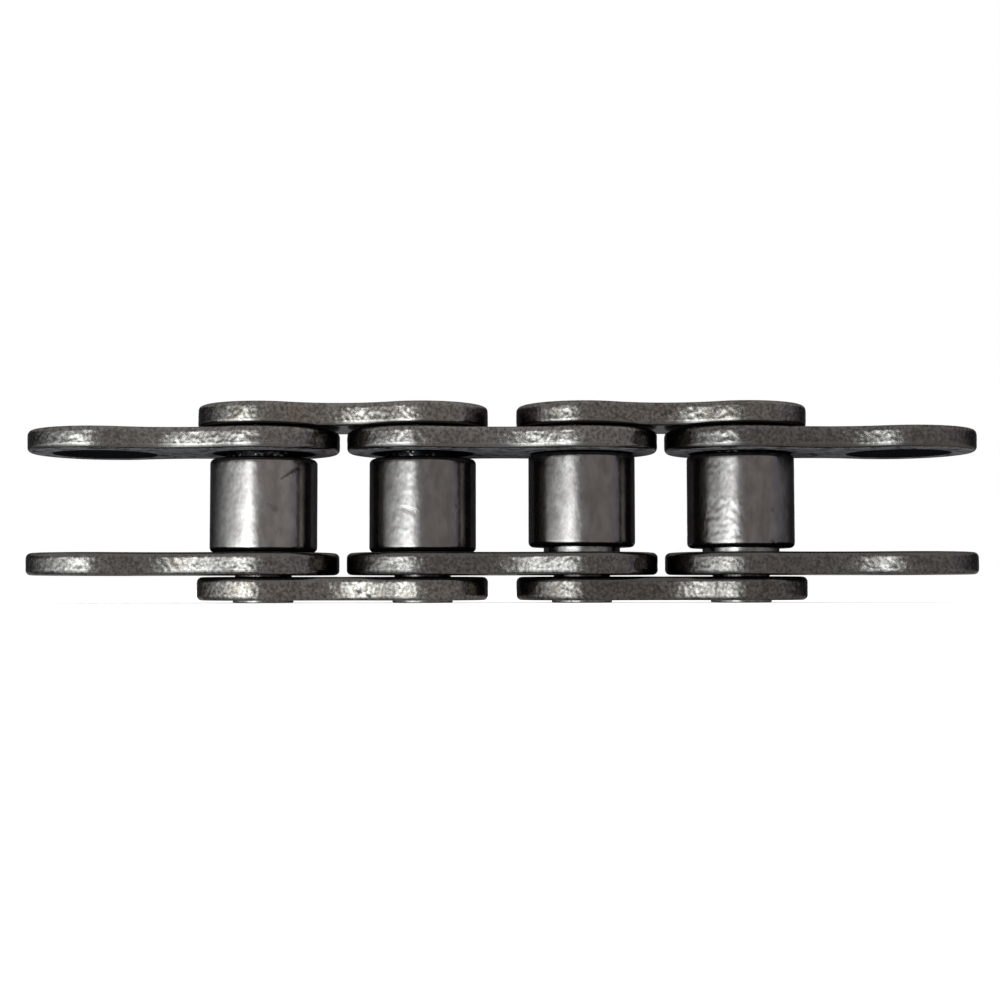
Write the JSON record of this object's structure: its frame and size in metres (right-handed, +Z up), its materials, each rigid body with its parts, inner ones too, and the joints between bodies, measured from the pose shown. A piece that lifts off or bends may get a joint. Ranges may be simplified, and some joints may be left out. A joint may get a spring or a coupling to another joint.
{
  "type": "roller chain strand",
  "caption": "Short strand of plain motorcycle roller chain: figure-eight link plates, riveted pins, bushes and loose rollers, hinged at every pin, with open plate holes at both ends.",
  "frame": {"origin": "middle of the strand, on the line through the pins' middles", "axes": "+X along the strand, +Y across the plates' width, +Z up along the pins; the strand stands on its pin heads"},
  "size_m": [0.0756, 0.012, 0.0158],
  "materials": {
    "inner_plate_steel": "dark heat-treated steel, blanked and tumbled",
    "outer_plate_steel": "dark heat-treated steel, blanked and tumbled",
    "bush_steel": "ground hardened steel, oiled",
    "roller_steel": "dark hardened steel, satin, oiled",
    "pin_steel": "ground hardened steel, riveted ends"
  },
  "bodies": {
    "centre_link": {"centre_link_upper_plate": "inner_plate_steel", "centre_link_lower_plate": "inner_plate_steel", "bush_2": "bush_steel", "bush_3": "bush_steel"},
    "left_outer_link": {"left_outer_link_upper_plate": "outer_plate_steel", "left_outer_link_lower_plate": "outer_plate_steel", "pin_1": "pin_steel", "pin_2": "pin_steel"},
    "right_outer_link": {"right_outer_link_upper_plate": "outer_plate_steel", "right_outer_link_lower_plate": "outer_plate_steel", "pin_3": "pin_steel", "pin_4": "pin_steel"},
    "left_end_link": {"left_end_link_upper_plate": "inner_plate_steel", "left_end_link_lower_plate": "inner_plate_steel", "bush_1": "bush_steel"},
    "right_end_link": {"right_end_link_upper_plate": "inner_plate_steel", "right_end_link_lower_plate": "inner_plate_steel", "bush_4": "bush_steel"},
    "roller_1": {"roller_1": "roller_steel"},
    "roller_2": {"roller_2": "roller_steel"},
    "roller_3": {"roller_3": "roller_steel"},
    "roller_4": {"roller_4": "roller_steel"}
  },
  "joints": [
    {"name": "pin_2_hinge", "type": "hinge", "parent": "centre_link", "child": "left_outer_link", "pos_m": [-0.00635, 0, 0], "axis": [0, 0, 1], "range_deg": [-90, 90]},
    {"name": "pin_1_hinge", "type": "hinge", "parent": "left_outer_link", "child": "left_end_link", "pos_m": [-0.01905, 0, 0], "axis": [0, 0, 1], "range_deg": [-90, 90]},
    {"name": "pin_3_hinge", "type": "hinge", "parent": "centre_link", "child": "right_outer_link", "pos_m": [0.00635, 0, 0], "axis": [0, 0, 1], "range_deg": [-90, 90]},
    {"name": "pin_4_hinge", "type": "hinge", "parent": "right_outer_link", "child": "right_end_link", "pos_m": [0.01905, 0, 0], "axis": [0, 0, 1], "range_deg": [-90, 90]},
    {"name": "roller_1_spin", "type": "hinge", "parent": "left_end_link", "child": "roller_1", "pos_m": [-0.01905, 0, 0], "axis": [0, 0, 1], "continuous": true},
    {"name": "roller_2_spin", "type": "hinge", "parent": "centre_link", "child": "roller_2", "pos_m": [-0.00635, 0, 0], "axis": [0, 0, 1], "continuous": true},
    {"name": "roller_3_spin", "type": "hinge", "parent": "centre_link", "child": "roller_3", "pos_m": [0.00635, 0, 0], "axis": [0, 0, 1], "continuous": true},
    {"name": "roller_4_spin", "type": "hinge", "parent": "right_end_link", "child": "roller_4", "pos_m": [0.01905, 0, 0], "axis": [0, 0, 1], "continuous": true}
  ]
}
